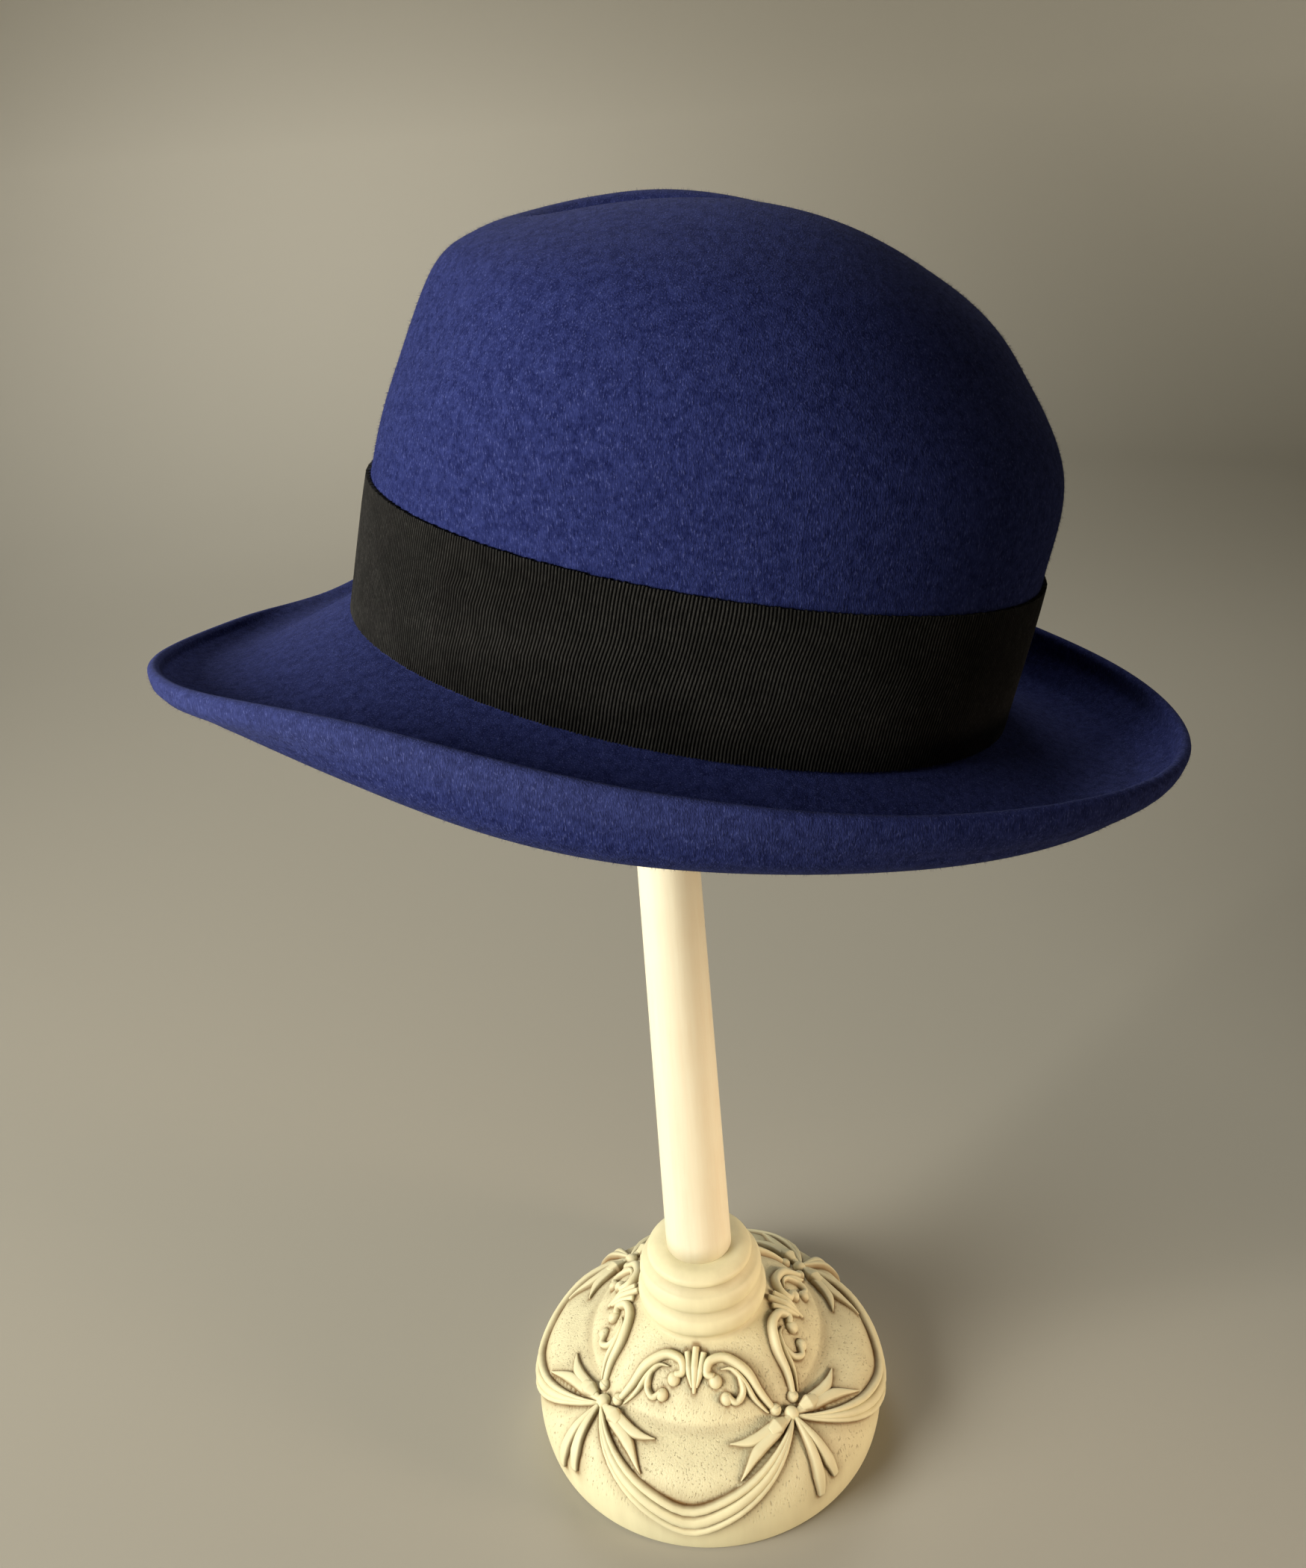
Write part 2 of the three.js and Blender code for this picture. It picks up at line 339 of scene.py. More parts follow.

# %% [markdown]
# ## Blue felt
# The felt is royal blue and fully matte. Light catches the loose fibres at a grazing angle, so the edges of
# the form look paler: that is sheen, and it stays a plain number on the shader. The grain moves the colour
# between a deep and a lit blue and raises a low bump. On the outside of the curl, a mark on the points adds
# a paler tone: a painted highlight where the light falls on the curl. The fuzz takes the same grain in
# paler blues, a painted sheen on the loose fibres.

# %% Make the felt materials
FELT_DEEP = (0.006, 0.009, 0.054, 1)
FELT_LIT = (0.032, 0.043, 0.168, 1)
FELT_TIP = (0.075, 0.090, 0.245, 1)
# the fuzz's lit blue is paler than the felt's: a painted sheen on the loose fibres
FUZZ_PAINTED_SHEEN = (0.040, 0.051, 0.190, 1)
FELT_PAINTED_HIGHLIGHT = (0.012, 0.014, 0.032, 1)
SHEEN_TINT = (0.45, 0.52, 0.95, 1)


def felt_material(name, lit, sheen):
    material, tree, shader = new_material(
        name, 1.0, Specular_IOR_Level=0.05, Sheen_Weight=sheen, Sheen_Roughness=0.4, Sheen_Tint=SHEEN_TINT
    )
    grain = place_group(
        tree, FIBRE_GRAIN, Deep=FELT_DEEP, Lit=lit, Tip=FELT_TIP,
        Strand_Scale=2700.0, Strand_Stretch=0.28, Cloud_Scale=190.0,
    )
    # painted highlight: a paler tone added on the outside of the curl, where the light falls
    colour = mix_colour(tree, point_mark(tree, "painted_curl_highlight"), grain.outputs["Color"], FELT_PAINTED_HIGHLIGHT, blend="ADD")
    tree.links.new(colour, shader.inputs["Base Color"])
    add_bump(tree, shader, grain.outputs["Height"], distance=0.0005, strength=0.42)
    return material


BLUE_FELT = felt_material("blue_felt", FELT_LIT, sheen=0.05)
FELT_FUZZ = felt_material("felt_fuzz", FUZZ_PAINTED_SHEEN, sheen=0.03)
print("felt materials:", BLUE_FELT.name, FELT_FUZZ.name)

# %% [markdown]
# ## The crown's shape
# A fedora is one cone of felt, pulled over a wooden block and pressed. Its sections are ovals: the brim
# break, the top of the ribbon, the wall, the shoulder, the rim of the dent and the dent itself. It could be
# sculpted. A smooth curve through a few rows of sizes gives the same crown with less work, and a pinch is
# pushed into each side of the front. The hat tips back and to its right on the stand.

# %% Describe the crown
HAT_PLACE = Vector((-0.002, 0.007, 0.3265))
TIP_BACK = math.radians(10.5)
TIP_RIGHT = math.radians(4.8)
HAT_TURN = Matrix.Rotation(-TIP_RIGHT, 3, "Y") @ Matrix.Rotation(-TIP_BACK, 3, "X")
FELT_THICKNESS = 0.0024
EDGE_THICKNESS = 0.0034
CROWN_COLUMNS = ("height", "front", "back", "half", "lift", "sag", "twist")
CROWN_SECTIONS = {
    "brim break": (0.0000, 0.1000, 0.0997, 0.0824, 0.0016, -0.0003, 0.0),
    "ribbon top": (0.0415, 0.0960, 0.1014, 0.0825, 0.0010, 0.0000, 0.0),
    "wall": (0.0720, 0.0900, 0.1000, 0.0845, 0.0000, -0.0015, 0.0),
    "upper wall": (0.0965, 0.0820, 0.0827, 0.0775, 0.0017, 0.0005, 0.0),
    "shoulder": (0.1110, 0.0710, 0.0680, 0.0620, 0.0008, -0.0015, 0.0013),
    "rim": (0.1210, 0.0575, 0.0525, 0.0290, 0.0002, -0.0052, 0.0030),
    "dent wall": (0.1130, 0.0400, 0.0400, 0.0160, 0.0000, -0.0030, 0.0015),
    "dent floor": (0.1040, 0.0195, 0.0215, 0.0060, 0.0000, -0.0010, 0.0),
    "dent middle": (0.1020, 0.0000, 0.0000, 0.0000, 0.0000, 0.0000, 0.0),
}
PINCH = {"turn": math.radians(43), "height": 0.093, "depth": 0.005, "spread": math.radians(20), "rise": 0.024}


def on_stand(points):
    """Points of the upright hat, moved to where the hat sits on the stand."""
    return np.asarray(points).reshape(-1, 3) @ np.array(HAT_TURN).T + np.array(HAT_PLACE)


def turn_from_front(angle):
    """How far an angle is from the hat's front, the same left and right."""
    return np.abs(np.arctan2(np.sin(angle), np.cos(angle)))


def crown_point(place, angle):
    """Points on the crown's outside. The angle is 0 at the front and a quarter turn at the left."""
    rows = list(CROWN_SECTIONS.values())
    sizes = {name: smooth_column(rows, k, place) for k, name in enumerate(CROWN_COLUMNS)}
    forward, left = np.cos(angle), np.sin(angle)
    reach = np.where(forward > 0, sizes["front"], sizes["back"])
    plan = np.stack([sizes["half"] * left, -reach * forward], axis=-1)
    sideways = (turn_from_front(angle) - PINCH["turn"]) / PINCH["spread"]
    upward = (sizes["height"] - PINCH["height"]) / PINCH["rise"]
    pinch = PINCH["depth"] * np.exp(-(sideways**2) - upward**2)
    radius = np.linalg.norm(plan, axis=-1)
    plan = unit(plan) * np.maximum(radius - pinch, 0)[..., None]
    level = sizes["lift"] * forward + sizes["sag"] * np.cos(2 * angle) - sizes["twist"] * np.sin(2 * angle)
    return np.concatenate([plan, (sizes["height"] + level)[..., None]], axis=-1)


def crown_outward(place, angle):
    """The level way straight out from the crown's oval."""
    small = 0.01
    along = crown_point(place, angle + small) - crown_point(place, angle - small)
    return unit(np.stack([along[..., 1], -along[..., 0], np.zeros_like(along[..., 0])], axis=-1))


print("crown sections:", len(CROWN_SECTIONS))

# %% [markdown]
# ## The brim's shape
# The brim leaves the crown sloping down and bends up towards its edge, most of all at the sides. At the
# left of the front, where the brim stays flat, its last few millimetres were turned up by hand as a lip. At
# the back the edge turns up a little more, the sides and the back droop, and the right of the front lies
# flatter. Each row of points is walked outwards from the brim break in small steps whose slope changes,
# which keeps the brim's true width however it curls.

# %% Describe the brim
BRIM_COLUMNS = ("width", "dip", "curl", "straight")
LIP = {"rise": 62.0, "start": 0.945, "end": 0.980, "extra": 0.0006, "ease": 6.0}
LIP_TURNS = np.radians((-9, 7, 45, 85))
BACK_LIP = {"rise": 34.0, "start": 0.88, "end": 0.96, "extra": 0.0022}
BACK_LIP_TURNS = np.radians((115, 160))
DROOP = 4.5
DROOP_TURNS = np.radians((70, 105))
FLATTER = {"turn": math.radians(-16), "spread": math.radians(10), "curl": 12.0}
BRIM_SECTIONS = {
    "front": (0.0570, 36.5, 6, 0.54),
    "front quarter": (0.0625, 24.0, 30, 0.36),
    "side": (0.0605, 22.0, 109, 0.43),
    "back quarter": (0.0515, 16.5, 83, 0.39),
    "back": (0.0545, 8.5, 47, 0.31),
}


def brim_lines(angle, steps, trim):
    """Rows of points from the brim break to the brim's edge, with the edge cut back by trim."""
    rows = list(BRIM_SECTIONS.values())
    rows = [rows[1], *rows, rows[-2]]
    place = turn_from_front(angle) / math.pi * (len(BRIM_SECTIONS) - 1) + 1
    width, dip, curl, straight = (smooth_column(rows, k, place) for k in range(len(BRIM_COLUMNS)))
    signed = np.arctan2(np.sin(angle), np.cos(angle))
    lip = smoothstep(*LIP_TURNS[:2], signed) * (1 - smoothstep(*LIP_TURNS[2:], signed))
    back_lip = smoothstep(*BACK_LIP_TURNS, turn_from_front(angle))
    width = width + LIP["extra"] * lip + BACK_LIP["extra"] * back_lip
    dip = dip + DROOP * smoothstep(*DROOP_TURNS, turn_from_front(angle))
    flatter = FLATTER["curl"] * np.exp(-(((signed - FLATTER["turn"]) / FLATTER["spread"]) ** 2))
    rise = curl + dip - flatter - LIP["ease"] * lip
    out = crown_outward(np.zeros_like(angle), angle)
    point = crown_point(np.zeros_like(angle), angle)
    stride = (width - trim) / steps
    lines = []
    for step in range(steps):
        share = (step + 0.5) / steps
        bend = rise * smoothstep(straight, 1, share)
        bend = bend + LIP["rise"] * lip * smoothstep(LIP["start"], LIP["end"], share)
        bend = bend + BACK_LIP["rise"] * back_lip * smoothstep(BACK_LIP["start"], BACK_LIP["end"], share)
        slope = np.radians(bend - dip)
        point = point + out * (np.cos(slope) * stride)[:, None]
        point[:, 2] += np.sin(slope) * stride
        lines.append(point)
    return np.array(lines)


print("brim sections:", len(BRIM_SECTIONS))

# %% [markdown]
# ## The felt body
# The upper face runs in rings from the middle of the dent, over the rim, down the wall and out to the
# brim's edge. The lower face is the same rings set in by the felt's thickness, which swells a little at the
# edge. A Solidify modifier with weights could do this too. Arrays keep both faces at hand for the fuzz. A
# faint line pressed along the curl's outside runs under its edge, and a soft crease follows the edge on top
# at the back.

# %% Lay out the felt's two faces
HAT_SIDES = 240
RINGS_PER_SECTION = 10
BRIM_RINGS = 60
EDGE_SWELL = (0.88, 0.97)
PRESS = {"depth": 0.0004, "from_edge": 0.0085, "spread": 0.0016}
PRESS_TURNS = np.radians((70, 100))
CREASE = {"depth": 0.0006, "from_edge": 0.0135, "spread": 0.0022}
CREASE_TURNS = np.radians((125, 150))

angles = np.linspace(0, 2 * math.pi, HAT_SIDES, endpoint=False)
top_place = len(CROWN_SECTIONS) - 1
crown_places = np.linspace(top_place, 0, top_place * RINGS_PER_SECTION + 1)[1:]
crown_rings = np.array([crown_point(np.full(HAT_SIDES, place), angles) for place in crown_places])
skin = np.concatenate([crown_rings, brim_lines(angles, BRIM_RINGS, EDGE_THICKNESS / 2)])


def sheet_normals(rings):
    """Normals of rings that run outwards and are closed round."""
    outward = np.gradient(rings, axis=0)
    around = np.roll(rings, -1, axis=1) - np.roll(rings, 1, axis=1)
    return unit(np.cross(outward, around))


upper_normals = sheet_normals(skin)
brim_share = np.concatenate([np.zeros(len(crown_rings)), np.arange(1, BRIM_RINGS + 1) / BRIM_RINGS])
swell = (EDGE_THICKNESS - FELT_THICKNESS) / 2 * smoothstep(*EDGE_SWELL, brim_share)[:, None, None]
upper = skin + upper_normals * swell
lower = skin - upper_normals * (FELT_THICKNESS + swell)
from_edge = np.linalg.norm(upper[-BRIM_RINGS:] - upper[-1], axis=-1)


def pressed_line(line, turns):
    """How deep a line along the edge is pressed into the brim's rings. It starts between two turns."""
    depth = line["depth"] * np.exp(-(((from_edge - line["from_edge"]) / line["spread"]) ** 2))
    return (depth * smoothstep(*turns, turn_from_front(angles)))[..., None]


lower[-BRIM_RINGS:] += upper_normals[-BRIM_RINGS:] * pressed_line(PRESS, PRESS_TURNS)
upper[-BRIM_RINGS:] -= upper_normals[-BRIM_RINGS:] * pressed_line(CREASE, CREASE_TURNS)
print("rings on each face:", len(upper))

# %% [markdown]
# ## Closing the felt
# A rounded strip joins the two faces at the brim's edge, so the whole hat is one closed skin, as the real
# one is one piece of felt. The points near the edge on the outside of the curl carry a mark of painted
# highlight, where the light falls on the curl, and it fades towards the back.

# %% Close the felt body
EDGE_BENDS = 7
HIGHLIGHT_REACH = (0.002, 0.012)
HIGHLIGHT_TURNS = np.radians((95, 140))

edge_out = unit(upper[-1] - upper[-2])
edge_middle = (upper[-1] + lower[-1]) / 2
edge = []
for bend in np.linspace(0, math.pi, EDGE_BENDS + 2)[1:-1]:
    round_out = upper_normals[-1] * math.cos(bend) + edge_out * math.sin(bend)
    edge.append(edge_middle + round_out * EDGE_THICKNESS / 2)
rings = np.concatenate([upper, np.array(edge), lower[::-1]])
middle = crown_point(np.array([float(top_place)]), np.zeros(1))[0]
felt_points, felt_faces = capped_rings(rings, middle, middle - [0, 0, FELT_THICKNESS])
felt = make_piece("felt_hat", on_stand(felt_points), felt_faces, BLUE_FELT)

# painted highlight on the outside of the curl near its edge, fading towards the back
painted_curl_highlight = np.zeros((len(rings), HAT_SIDES))
under_start = len(upper) + EDGE_BENDS
painted_curl_highlight[len(upper) : under_start] = 1
painted_curl_highlight[under_start : under_start + BRIM_RINGS] = 1 - smoothstep(*HIGHLIGHT_REACH, from_edge)[::-1]
painted_curl_highlight *= 1 - smoothstep(*HIGHLIGHT_TURNS, turn_from_front(angles))
mark_points(felt, "painted_curl_highlight", [*painted_curl_highlight.ravel(), 0, 0])
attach(felt, "root")
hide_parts("felt_body")

# %% [markdown]
# ## The fuzz
# Short fibres stand out of the felt and soften its outline. Blender's hair would not be exported, so each
# fibre is a thin closed spike with three sides. Roots are spread evenly by area, and fibres lean down the
# nap. The draw is seeded, so each run grows the same fuzz. No fibre grows under the ribbon.

# %% Grow the fuzz
FIBRES_PER_PIECE = 45000
FIBRE_LENGTH = (0.0005, 0.0013)
FIBRE_WIDTH = 0.00008
FIBRE_SINK = 0.0002
LEAN_OUT, LEAN_DOWN, LEAN_STRAY = 0.55, 0.7, 0.4
ASIDE = 0.01


def grow_fibres(name, sheet, normals, count, seed):
    """A mesh of loose spikes on a sheet of rings."""
    draw = np.random.default_rng(seed)
    after = np.roll(sheet, -1, axis=1)
    cell_area = np.linalg.norm(np.cross(sheet[1:] - sheet[:-1], after[:-1] - sheet[:-1]), axis=-1)
    chance = (cell_area / cell_area.sum()).ravel()
    cell = draw.choice(len(chance), size=count, p=chance)
    row, side = np.divmod(cell, sheet.shape[1])
    after_side = (side + 1) % sheet.shape[1]
    s, t = draw.random((2, count, 1))
    root = (
        sheet[row, side] * (1 - s) * (1 - t)
        + sheet[row + 1, side] * s * (1 - t)
        + sheet[row, after_side] * (1 - s) * t
        + sheet[row + 1, after_side] * s * t
    )
    normal = unit(normals[row, side] + normals[row + 1, after_side])
    nap = unit(sheet[row + 1, side] - sheet[row, side])
    lean = unit(normal * LEAN_OUT + nap * LEAN_DOWN + draw.normal(0, LEAN_STRAY, (count, 3)))
    length = draw.uniform(*FIBRE_LENGTH, (count, 1))
    across = unit(np.cross(lean, normal + ASIDE))
    second = np.cross(lean, across)
    base = root - normal * FIBRE_SINK
    corners = []
    for turn in (0, 2 * math.pi / 3, 4 * math.pi / 3):
        corners.append(base + (across * math.cos(turn) + second * math.sin(turn)) * FIBRE_WIDTH / 2)
    corners.append(root + lean * length)
    points = np.stack(corners, axis=1).reshape(-1, 3)
    spike = np.array([[0, 1, 3], [1, 2, 3], [2, 0, 3], [0, 2, 1]])
    faces = (np.arange(count)[:, None, None] * 4 + spike[None]).reshape(-1, 3)
    fuzz = make_piece(name, on_stand(points), faces.tolist(), FELT_FUZZ)
    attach(fuzz, "root")


RIBBON_TOP_PLACE = 1.0
above_ribbon = int(np.sum(crown_places > RIBBON_TOP_PLACE)) + 1
grow_fibres("crown_fuzz", upper[:above_ribbon], upper_normals[:above_ribbon], FIBRES_PER_PIECE, seed=11)
brim_start = len(crown_rings) + 1
half = FIBRES_PER_PIECE // 2
grow_fibres("brim_top_fuzz", upper[brim_start:], upper_normals[brim_start:], half, seed=12)
grow_fibres("brim_under_fuzz", lower[brim_start:], -upper_normals[brim_start:], half, seed=13)

# %% [markdown]
# ## Black ribbon
# The band is grosgrain, a ribbon woven with round ribs across its length. Its thread takes the fibrous
# grain in near black. Light only reaches the crests of the ribs, so a mark on the points paints the grooves
# black as painted shade and leaves the crests lit as painted highlight, and random patches make that painted
# highlight stronger on some stretches than others. A bump could fake the ribs, but here they are real.

# %% Make the ribbon material
RIBBON_GROOVE_SHADE = (0.0008, 0.0008, 0.0007, 1)
RIBBON_DEEP = (0.0110, 0.0108, 0.0104, 1)
RIBBON_LIT = (0.0400, 0.0392, 0.0376, 1)
RIBBON_TIP = (0.065, 0.064, 0.061, 1)
CREST_SHARPNESS = 2.0
HIGHLIGHT_PATCH_SCALE, HIGHLIGHT_PATCH_LEAST = 60.0, 0.5


def ribbon_material():
    material, tree, shader = new_material("black_ribbon", 0.8, Specular_IOR_Level=0.12)
    grain = place_group(
        tree, FIBRE_GRAIN, Deep=RIBBON_DEEP, Lit=RIBBON_LIT, Tip=RIBBON_TIP,
        Strand_Scale=3000.0, Strand_Stretch=0.2, Cloud_Scale=90.0,
    )
    crest = math_node(tree, "POWER", point_mark(tree, "crest"), CREST_SHARPNESS)
    # random patches make the painted highlight on the crests stronger in some stretches than others
    patches = noise_field(tree, object_place(tree), HIGHLIGHT_PATCH_SCALE, detail=3.0, contrast=2.4)
    highlight_strength = math_node(tree, "MULTIPLY_ADD", patches, 1 - HIGHLIGHT_PATCH_LEAST, HIGHLIGHT_PATCH_LEAST)
    shine = math_node(tree, "MULTIPLY", crest, highlight_strength)
    # painted shade in the grooves and painted highlight on the crests, set by the crest mark
    colour = mix_colour(tree, shine, RIBBON_GROOVE_SHADE, grain.outputs["Color"])
    tree.links.new(colour, shader.inputs["Base Color"])
    add_bump(tree, shader, grain.outputs["Height"], distance=0.0001, strength=0.4)
    return material


BLACK_RIBBON = ribbon_material()
print("ribbon material:", BLACK_RIBBON.name)

# %% [markdown]
# ## Ribs of the ribbon
# The ribs are 0.9 mm apart, so each is modelled: six columns of points make one rib. The ribbon starts on
# the far side of the hat and its end laps over the start there. Its length is measured along the crown
# first, so that the ribs are evenly spaced however the oval bends. Each rib ends in a small frayed bump at
# the edge.

# %% Lay out the ribs
RIBBON_RISE = 0.0006
RIBBON_WIDTH = 0.0409
RIBBON_THICKNESS = 0.0008
RIBBON_GAP = 0.0003
RIB_PITCH = 0.00092
RIB_HEIGHT = 0.00036
RIB_SHIFT = 0.0019
RIB_WAVE = 0.0003
RIB_FRAY = 0.0004
COLUMNS_PER_RIB = 6
FRONT_ROWS = 16
BACK_ROWS = 5
LAP_ANGLE = math.radians(272)
LAP_LENGTH = 0.018
LAP_RISE = 0.006
LAP_CLEARANCE = 0.0002
MIDDLE_PLACE = 0.5
RUN_BEFORE, RUN_TURNS, RUN_SAMPLES = 0.2, 1.1, 4000
FRAY_SEED = 21

fine = LAP_ANGLE + np.linspace(-RUN_BEFORE, 2 * math.pi * RUN_TURNS, RUN_SAMPLES)
fine_line = crown_point(np.full_like(fine, MIDDLE_PLACE), fine)
run = np.concatenate([[0], np.cumsum(np.linalg.norm(np.diff(fine_line, axis=0), axis=1))])
run = run - np.interp(LAP_ANGLE, fine, run)
once_round = np.interp(2 * math.pi + LAP_ANGLE, fine, run)
ribbon_length = once_round + LAP_LENGTH
rib_count = int(ribbon_length / RIB_PITCH)
along = np.linspace(0, ribbon_length, rib_count * COLUMNS_PER_RIB + 1)
rib_phase = np.arange(len(along)) / COLUMNS_PER_RIB
rib_crest = np.abs(np.sin(math.pi * rib_phase))
rib = RIB_HEIGHT * rib_crest
fray = RIB_FRAY * np.random.default_rng(FRAY_SEED).random(rib_count + 1)[rib_phase.astype(int)] * rib_crest
lap = smoothstep(once_round - LAP_RISE, once_round, along) * (RIBBON_THICKNESS + RIB_HEIGHT + LAP_CLEARANCE)
print("ribbon", round(ribbon_length, 3), "m long with", rib_count, "ribs")

# %% [markdown]
# ## Weaving the ribbon
# Pulling the ribbon round the crown drew its ribs into a soft S and left a few low wrinkles. Both faces are
# rows of points from the top edge down, set off from the crown. Cloth simulation could drape a ribbon, but
# it would lose ribs this fine. A mark on each point says how near it is to a rib's crest.

# %% Weave the ribbon
WAVE_LENGTH = 0.011
SHARP_ANGLE = math.radians(60)
WRINKLES = {
    # turn from the front in degrees, height, half length, half breadth, slant and depth
    "long": (82, 0.017, 0.018, 0.0030, 0.25, 0.0012),
    "upper": (68, 0.027, 0.011, 0.0028, -0.3, 0.0008),
    "low": (97, 0.010, 0.012, 0.0028, 0.4, 0.0009),
}


def ribbon_rows(count, offset, ribbed):
    """Rows of the ribbon from its top edge down, at an offset from the crown."""
    rows = []
    for share in np.linspace(1, 0, count):
        height = RIBBON_RISE + RIBBON_WIDTH * share
        lean = RIB_SHIFT * math.sin(math.pi * (share - 0.5))
        wave = RIB_WAVE * math.sin(4 * math.pi * share) * np.sin(along / WAVE_LENGTH)
        ribbon_angle = np.interp(along + lean + wave, run, fine)
        place = np.full_like(along, height / CROWN_SECTIONS["ribbon top"][0])
        out = offset + lap
        for turn, level, length, breadth, slant, depth in WRINKLES.values():
            sideways = (ribbon_angle % (2 * math.pi) - math.radians(turn)) * CROWN_SECTIONS["wall"][3]
            upward = height - level - slant * sideways
            out = out + depth * np.exp(-((sideways / length) ** 2) - (upward / breadth) ** 2)
        outward = crown_outward(place, ribbon_angle)
        point = crown_point(place, ribbon_angle) + outward * (out + ribbed * rib)[:, None]
        if share in (0.0, 1.0):
            point[:, 2] += (2 * share - 1) * fray
        rows.append(point)
    return rows


front_rows = ribbon_rows(FRONT_ROWS, RIBBON_GAP + RIBBON_THICKNESS, ribbed=1.0)
back_rows = ribbon_rows(BACK_ROWS, RIBBON_GAP, ribbed=0.0)
ribbon_grid = np.array(front_rows + back_rows[::-1])
columns = ribbon_grid.shape[1]
start_cap = np.arange(len(ribbon_grid))[None] * columns
end_cap = start_cap[:, ::-1] + columns - 1
ribbon_skin = grid_faces(len(ribbon_grid), columns, close_columns=False, close_rows=True)
ribbon_faces = face_list(ribbon_skin, start_cap, end_cap)
ribbon = make_piece("grosgrain_ribbon", on_stand(ribbon_grid), ribbon_faces, BLACK_RIBBON)
ribbon.data.set_sharp_from_angle(angle=SHARP_ANGLE)
mark_points(ribbon, "crest", [*np.tile(rib_crest, FRONT_ROWS), *np.zeros(BACK_ROWS * columns)])
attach(ribbon, "root")
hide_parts("ribbon_band")

# %% [markdown]
# ## Brushed paint
# The stand is painted ivory over a cast foot and a turned post. A brown glaze was wiped over it and stayed
# in the hollows. One group makes the paint: slow drifts of tone, fine brush streaks along Z, and a glaze
# wherever the hollow mask says so. Two separate materials would do the same, but then a change has to be
# made twice.

# %% Build the brushed paint
STREAK_STRETCH = (1.0, 1.0, 0.06)
DRIFT_SCALE = 30.0
GLAZE_STAY = (0.6, 0.55)
PAINT_ROUGHNESS, GLAZE_ROUGHNESS = 0.5, 0.25


def build_brushed_paint():
    tree, given, result = new_group(
        "brushed_paint",
        [
            ("Paint", "NodeSocketColor", (0.8, 0.7, 0.5, 1)),
            ("Glaze", "NodeSocketColor", (0.3, 0.18, 0.08, 1)),
            ("Hollow", "NodeSocketFloat", 0.0),
            ("Film", "NodeSocketFloat", 0.25),
            ("Streak Scale", "NodeSocketFloat", 300.0),
        ],
        [("Color", "NodeSocketColor"), ("Roughness", "NodeSocketFloat"), ("Height", "NodeSocketFloat")],
    )
    place = object_place(tree)
    brushed = stretched(tree, place, STREAK_STRETCH)
    streaks = noise_field(tree, brushed, given.outputs["Streak Scale"], detail=4.0, contrast=1.6)
    drift = noise_field(tree, place, DRIFT_SCALE, detail=3.0, contrast=1.4)
    thin = math_node(tree, "MULTIPLY", math_node(tree, "MULTIPLY", streaks, drift), given.outputs["Film"])
    stay = math_node(tree, "MULTIPLY_ADD", drift, *GLAZE_STAY)
    amount = math_node(tree, "MULTIPLY_ADD", given.outputs["Hollow"], stay, thin, clamp=True)
    colour = mix_colour(tree, amount, given.outputs["Paint"], given.outputs["Glaze"])
    tree.links.new(colour, result.inputs["Color"])
    dullness = math_node(tree, "MULTIPLY_ADD", amount, GLAZE_ROUGHNESS, PAINT_ROUGHNESS)
    tree.links.new(dullness, result.inputs["Roughness"])
    tree.links.new(streaks, result.inputs["Height"])
    return tree


BRUSHED_PAINT = build_brushed_paint()
print("group", BRUSHED_PAINT.name, "has", len(BRUSHED_PAINT.nodes), "nodes")

# %% [markdown]
# ## The stand's finishes
# The post is turned wood with faint streaks of thin glaze. The foot is a casting whose ground is pitted all
# over, and brown glaze has stayed in each pit. Both use the paint group with their own values. The pits are
# the lowest parts of a noise. They darken the paint and are pressed in by a bump, because they are far too
# small to model.

# %% Make the stand's materials
IVORY = (0.80, 0.76, 0.59, 1)
IVORY_WARM = (0.745, 0.70, 0.462, 1)
THIN_GLAZE = (0.64, 0.46, 0.26, 1)
BROWN_GLAZE = (0.18, 0.10, 0.032, 1)
PIT_STRETCH = (1.0, 1.0, 0.3)
PIT_SCALE = 1250.0
PIT_GAIN, PIT_STAIN = -5.0, 0.5
GROUND_ROUGH = 0.35


def wear_paint(tree, shader, **values):
    """Places the paint in a material and gives its colour and roughness to the shader."""
    paint = place_group(tree, BRUSHED_PAINT, **values)
    tree.links.new(paint.outputs["Color"], shader.inputs["Base Color"])
    tree.links.new(paint.outputs["Roughness"], shader.inputs["Roughness"])
    return paint


def post_material():
    material, tree, shader = new_material("ivory_wood", 0.5, Specular_IOR_Level=0.4)
    paint = wear_paint(tree, shader, Paint=IVORY, Glaze=THIN_GLAZE, Film=0.5, Streak_Scale=420.0)
    add_bump(tree, shader, paint.outputs["Height"], distance=0.0002, strength=0.4)
    return material


def casting_material():
    material, tree, shader = new_material("ivory_casting", 0.6, Specular_IOR_Level=0.3)
    pebbled = point_mark(tree, "pebbled")
    tall = stretched(tree, object_place(tree), PIT_STRETCH)
    pebbles = noise_field(tree, tall, PIT_SCALE, detail=2.0, contrast=2.4)
    pits = math_node(tree, "MULTIPLY_ADD", pebbles, PIT_GAIN, 1.0, clamp=True)
    pits = math_node(tree, "MULTIPLY", pits, pebbled)
    stained = math_node(tree, "MULTIPLY", pits, PIT_STAIN)
    hollow = math_node(tree, "MAXIMUM", stained, point_mark(tree, "hollow"))
    wear_paint(
        tree, shader, Paint=IVORY_WARM, Glaze=BROWN_GLAZE, Film=0.3, Streak_Scale=160.0, Hollow=hollow
    )
    uneven = math_node(tree, "MULTIPLY", pebbles, math_node(tree, "MULTIPLY", pebbled, GROUND_ROUGH))
    relief = math_node(tree, "SUBTRACT", uneven, pits)
    add_bump(tree, shader, relief, distance=0.0006, strength=0.65)
    return material


IVORY_WOOD = post_material()
IVORY_CASTING = casting_material()
print("stand materials:", IVORY_WOOD.name, IVORY_CASTING.name)

